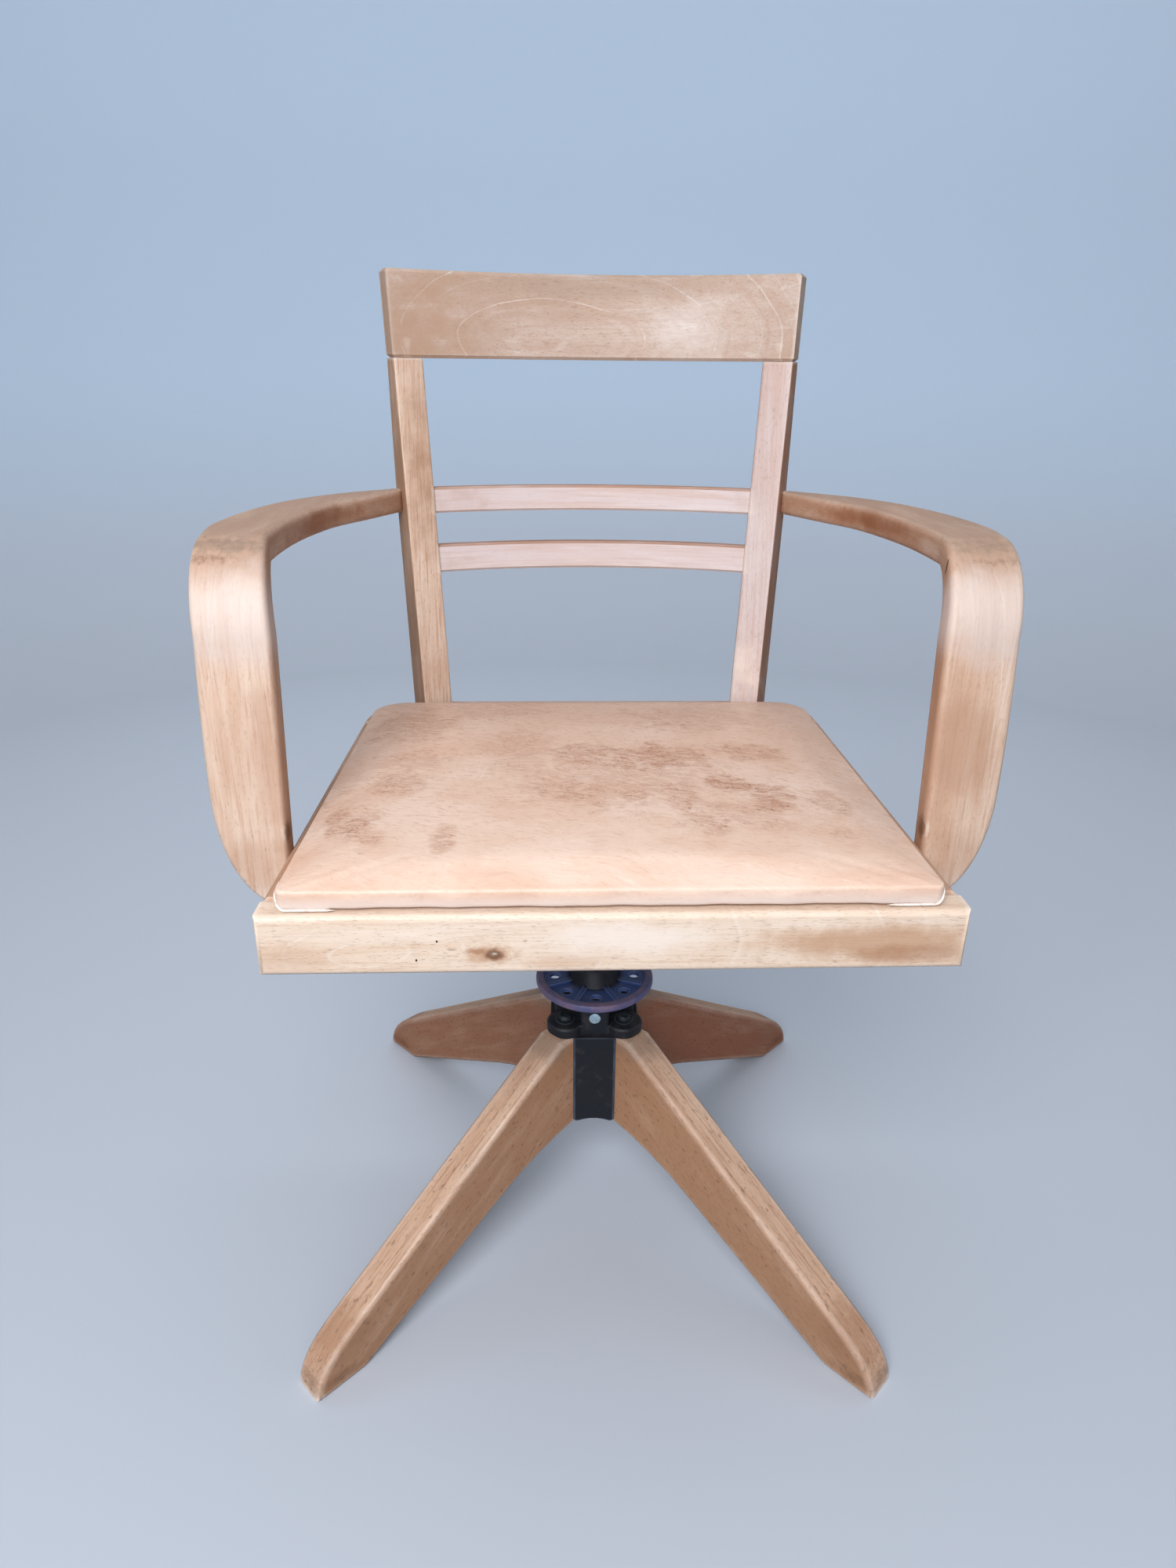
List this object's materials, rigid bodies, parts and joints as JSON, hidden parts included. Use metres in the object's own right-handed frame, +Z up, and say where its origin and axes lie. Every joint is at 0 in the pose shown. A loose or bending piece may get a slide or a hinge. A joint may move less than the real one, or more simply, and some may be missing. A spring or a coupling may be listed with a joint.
{
  "type": "office swivel armchair",
  "caption": "Wooden office armchair with bent arms, a bowed back and a padded leather seat on a height screw with a hand wheel, sprung tilt and four splayed legs",
  "frame": {"origin": "on the floor in the middle of the footprint; the swivel axis stands 7.0 mm behind it", "axes": "+Z up, the sitter faces -Y, +X is the right side as seen from the front"},
  "size_m": [0.555, 0.5102, 0.848],
  "materials": {
    "seat_wood": "worn clear lacquer on pale beech",
    "dowel_wood": "raw beech",
    "leg_wood": "worn lacquer on browner beech",
    "black_iron": "blackened casting",
    "wheel_iron": "worn painted casting",
    "dark_steel": "oiled steel",
    "zinc_steel": "zinc plated",
    "seat_leather": "worn tan leather, cracked brown in places"
  },
  "bodies": {
    "base": {"leg_front_left": "leg_wood", "leg_front_right": "leg_wood", "leg_back_left": "leg_wood", "leg_back_right": "leg_wood", "hub_casting": "black_iron", "leg_bolt_front_left": "black_iron", "leg_bolt_front_right": "black_iron", "leg_bolt_back_left": "black_iron", "leg_bolt_back_right": "black_iron", "spindle_bush": "dark_steel", "bush_set_screw": "zinc_steel"},
    "swivel": {"thrust_washer": "dark_steel"},
    "wheel": {"hand_wheel": "wheel_iron"},
    "column": {"spindle": "dark_steel", "tilt_yoke": "black_iron", "yoke_pin": "dark_steel", "tilt_spring_left": "dark_steel", "tilt_spring_right": "dark_steel"},
    "seat": {"pivot_pin": "dark_steel", "seat_iron": "black_iron", "iron_screw_left_1": "dark_steel", "iron_screw_left_2": "dark_steel", "iron_screw_left_3": "dark_steel", "iron_screw_left_4": "dark_steel", "iron_screw_right_1": "dark_steel", "iron_screw_right_2": "dark_steel", "iron_screw_right_3": "dark_steel", "iron_screw_right_4": "dark_steel", "front_rail": "seat_wood", "back_rail": "seat_wood", "side_rail_left": "seat_wood", "side_rail_right": "seat_wood", "corner_block_front_left": "seat_wood", "corner_block_front_right": "seat_wood", "corner_block_back_left": "seat_wood", "corner_block_back_right": "seat_wood", "batten_front": "seat_wood", "batten_back": "seat_wood", "stile_left": "seat_wood", "stile_right": "seat_wood", "crest_rail": "seat_wood", "slat_upper": "seat_wood", "slat_lower": "seat_wood", "arm_left": "seat_wood", "arm_right": "seat_wood", "seat_board": "seat_wood", "crest_dowel_left": "dowel_wood", "crest_dowel_right": "dowel_wood", "arm_dowel_left": "dowel_wood", "arm_dowel_right": "dowel_wood", "arm_screw_left_lower": "dark_steel", "arm_screw_left_upper": "dark_steel", "arm_screw_right_lower": "dark_steel", "arm_screw_right_upper": "dark_steel", "cushion": "seat_leather"}
  },
  "joints": [
    {"name": "swivel", "type": "hinge", "parent": "base", "child": "swivel", "pos_m": [0, 0.00698, 0.237], "axis": [0, 0, 1], "continuous": true},
    {"name": "height", "type": "slide", "parent": "swivel", "child": "column", "axis": [0, 0, 1], "range_m": [-0.045, 0.03]},
    {"name": "wheel_turn", "type": "hinge", "parent": "swivel", "child": "wheel", "pos_m": [0, 0.00698, 0.243], "axis": [0, 0, -1], "range_deg": [-2701, 1801]},
    {"name": "tilt", "type": "hinge", "parent": "column", "child": "seat", "pos_m": [0, -0.01302, 0.376], "axis": [-1, 0, 0], "range_deg": [0, 12], "stiffness_Nm_per_rad": 160, "springref_deg": -6.88, "deforming": ["tilt_spring_left", "tilt_spring_right"]}
  ],
  "couplings": [
    {"joint": "wheel_turn", "follows": "height", "rad_per_m": 1047.2}
  ]
}
